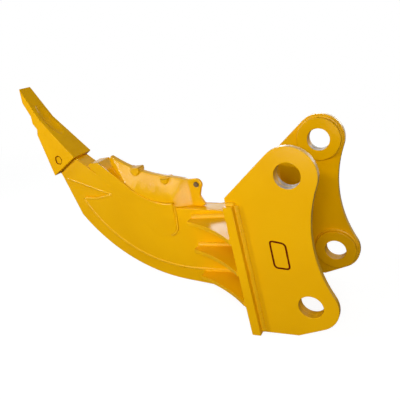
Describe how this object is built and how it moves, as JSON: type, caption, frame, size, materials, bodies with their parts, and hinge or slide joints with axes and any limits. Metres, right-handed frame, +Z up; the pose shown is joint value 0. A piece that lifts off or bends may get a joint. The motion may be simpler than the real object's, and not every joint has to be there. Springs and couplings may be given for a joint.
{
  "type": "ripper shank",
  "caption": "Single-shank excavator ripper: curved welded shank with pinned tooth and leading-edge guard, gusseted base plate and two bossed ears bored for pins.",
  "frame": {"origin": "middle of the arm pin's bore, halfway between the two ear plates", "axes": "+Y along the pins, +Z up in the resting pose, with the base plate's lower edge and the shank's back on the floor, and -X towards the tooth"},
  "size_m": [1.4028, 0.468, 0.762],
  "materials": {
    "yellow_paint": "gloss",
    "tooth_paint": "gloss",
    "steel_pin": "dull"
  },
  "bodies": {
    "root": {"shank_plate": "yellow_paint", "side_plate_left": "yellow_paint", "side_plate_right": "yellow_paint", "cheek_plate_left": "yellow_paint", "cheek_plate_right": "yellow_paint", "shank_guard": "yellow_paint", "guard_pin": "steel_pin", "ripper_tooth": "tooth_paint", "tooth_pin": "steel_pin", "base_plate": "yellow_paint", "ear_plate_left": "yellow_paint", "ear_plate_right": "yellow_paint", "arm_boss_left": "yellow_paint", "arm_boss_right": "yellow_paint", "link_boss_left": "yellow_paint", "link_boss_right": "yellow_paint", "upper_gusset_left": "yellow_paint", "upper_gusset_right": "yellow_paint", "middle_gusset_left": "yellow_paint", "middle_gusset_right": "yellow_paint", "lower_gusset_left": "yellow_paint", "lower_gusset_right": "yellow_paint"}
  },
  "joints": []
}
